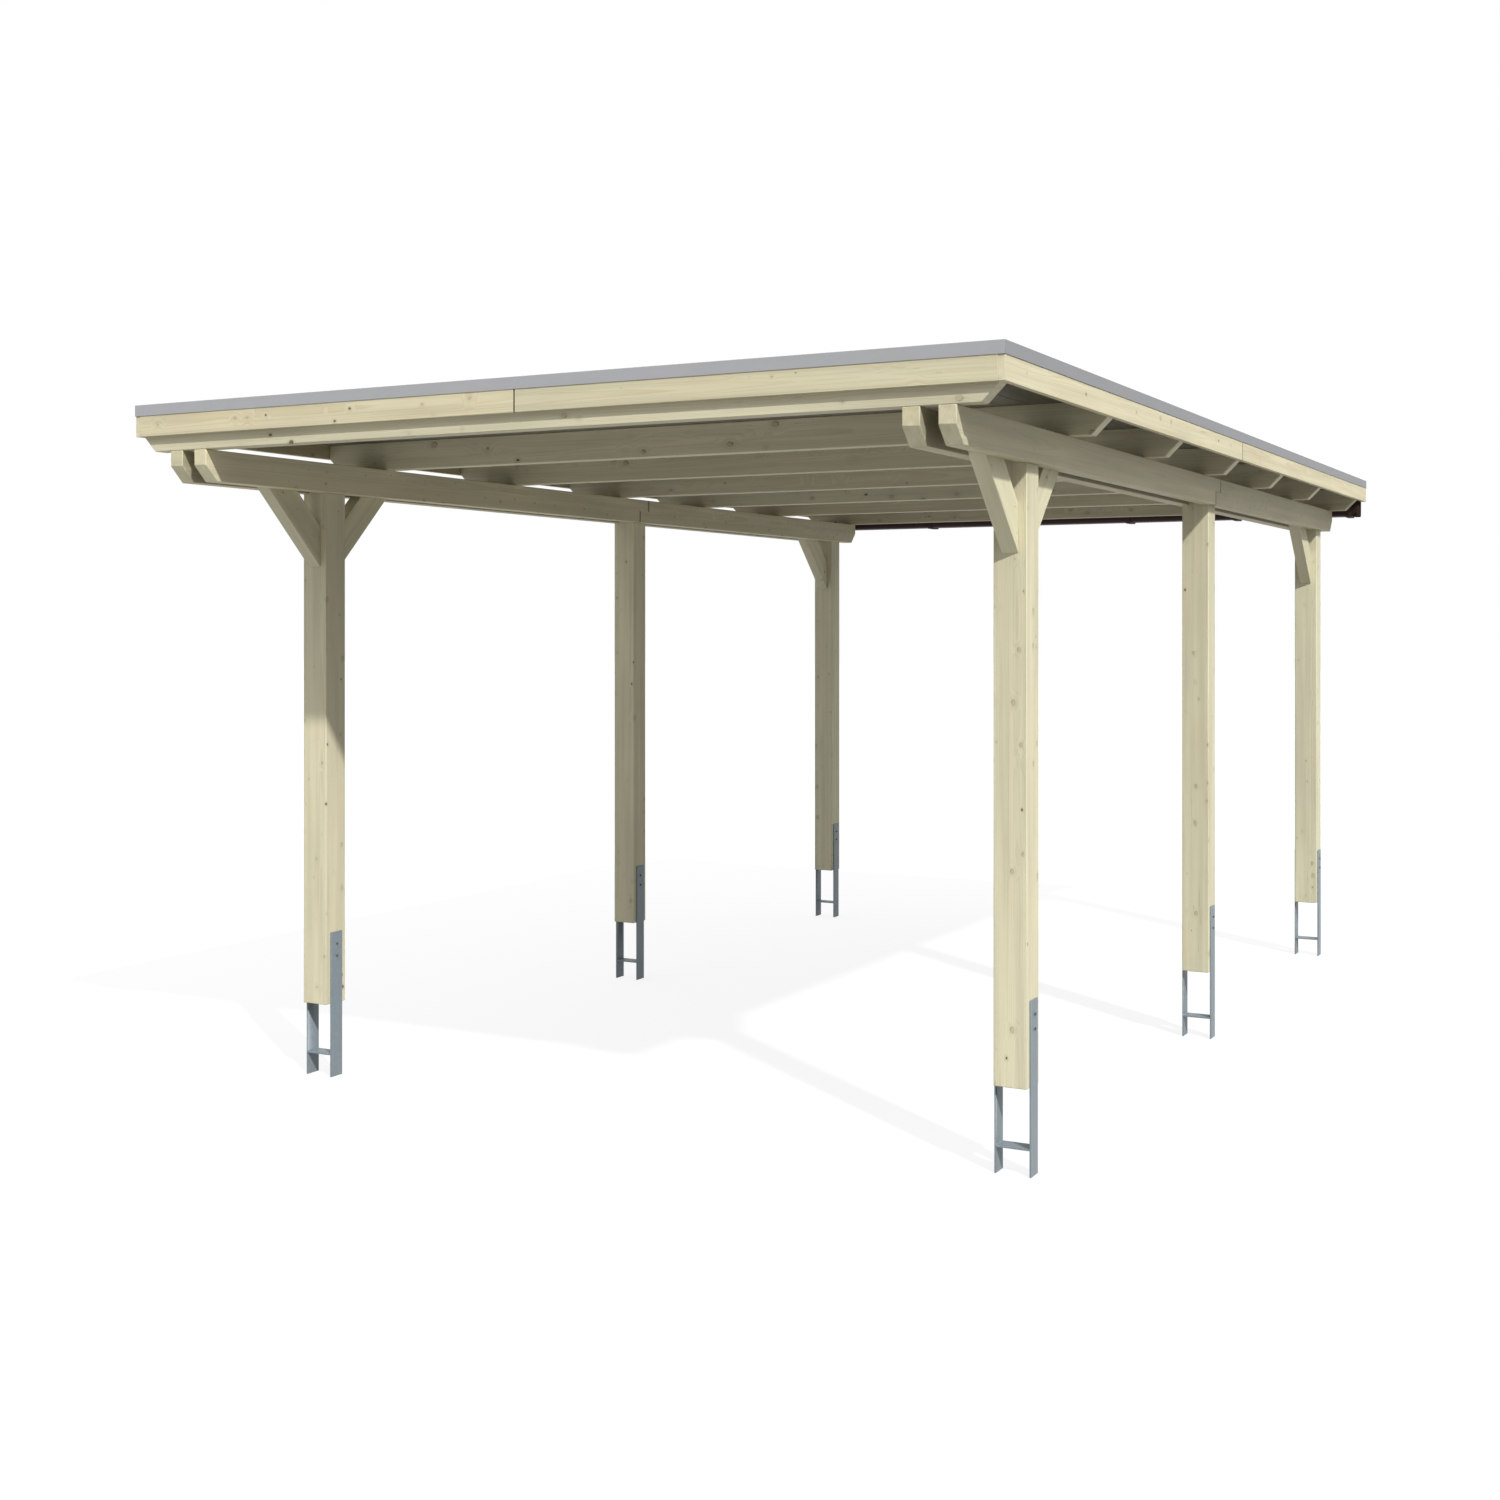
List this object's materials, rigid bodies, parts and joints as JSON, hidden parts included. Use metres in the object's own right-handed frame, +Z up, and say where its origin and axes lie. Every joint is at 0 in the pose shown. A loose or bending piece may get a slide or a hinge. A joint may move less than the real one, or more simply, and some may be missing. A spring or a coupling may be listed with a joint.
{
  "type": "carport",
  "caption": "Open timber carport: flat roof on posts in steel anchors, with paired purlins, braces, cross rafters, metal-capped fascias and a rear box gutter.",
  "frame": {"origin": "centre of the bounding box across and along the depth, at the lower ends of the anchors", "axes": "+X to the carport's right seen from the driving-in front, +Y from the front to the gutter at the rear, +Z up"},
  "size_m": [3.548, 6.061, 2.721],
  "materials": {
    "post_timber": "planed untreated spruce, satin",
    "beam_timber": "planed untreated spruce, satin",
    "fascia_timber": "planed untreated spruce boards, satin",
    "roof_board_timber": "planed softwood boards, satin",
    "galvanised_steel": "hot dip galvanised, dull",
    "trim_metal": "coated grey sheet, satin",
    "roofing_felt": "mineral bitumen felt, matt",
    "gutter_plastic": "dark brown plastic, semi-gloss"
  },
  "bodies": {
    "root": {"post_front_left": "post_timber", "anchor_front_left": "galvanised_steel", "post_front_right": "post_timber", "anchor_front_right": "galvanised_steel", "post_mid_left": "post_timber", "anchor_mid_left": "galvanised_steel", "post_mid_right": "post_timber", "anchor_mid_right": "galvanised_steel", "post_rear_left": "post_timber", "anchor_rear_left": "galvanised_steel", "post_rear_right": "post_timber", "anchor_rear_right": "galvanised_steel", "purlin_left_outer_front": "beam_timber", "purlin_left_outer_rear": "beam_timber", "purlin_left_inner_front": "beam_timber", "purlin_left_inner_rear": "beam_timber", "brace_front_left_forward": "beam_timber", "brace_front_left_rearward": "beam_timber", "brace_rear_left_forward": "beam_timber", "purlin_right_outer_front": "beam_timber", "purlin_right_outer_rear": "beam_timber", "purlin_right_inner_front": "beam_timber", "purlin_right_inner_rear": "beam_timber", "brace_front_right_forward": "beam_timber", "brace_front_right_rearward": "beam_timber", "brace_rear_right_forward": "beam_timber", "rafter_1": "beam_timber", "rafter_2": "beam_timber", "rafter_3": "beam_timber", "rafter_4": "beam_timber", "rafter_5": "beam_timber", "rafter_6": "beam_timber", "rafter_7": "beam_timber", "roof_boards": "roof_board_timber", "roof_felt": "roofing_felt", "eaves_drip_edge": "trim_metal", "fascia_front_left": "fascia_timber", "fascia_left_front": "fascia_timber", "fascia_left_rear": "fascia_timber", "trim_left": "trim_metal", "fascia_front_right": "fascia_timber", "fascia_right_front": "fascia_timber", "fascia_right_rear": "fascia_timber", "trim_right": "trim_metal", "trim_front": "trim_metal", "gutter": "gutter_plastic", "gutter_end_caps": "gutter_plastic", "gutter_brackets": "gutter_plastic"}
  },
  "joints": []
}
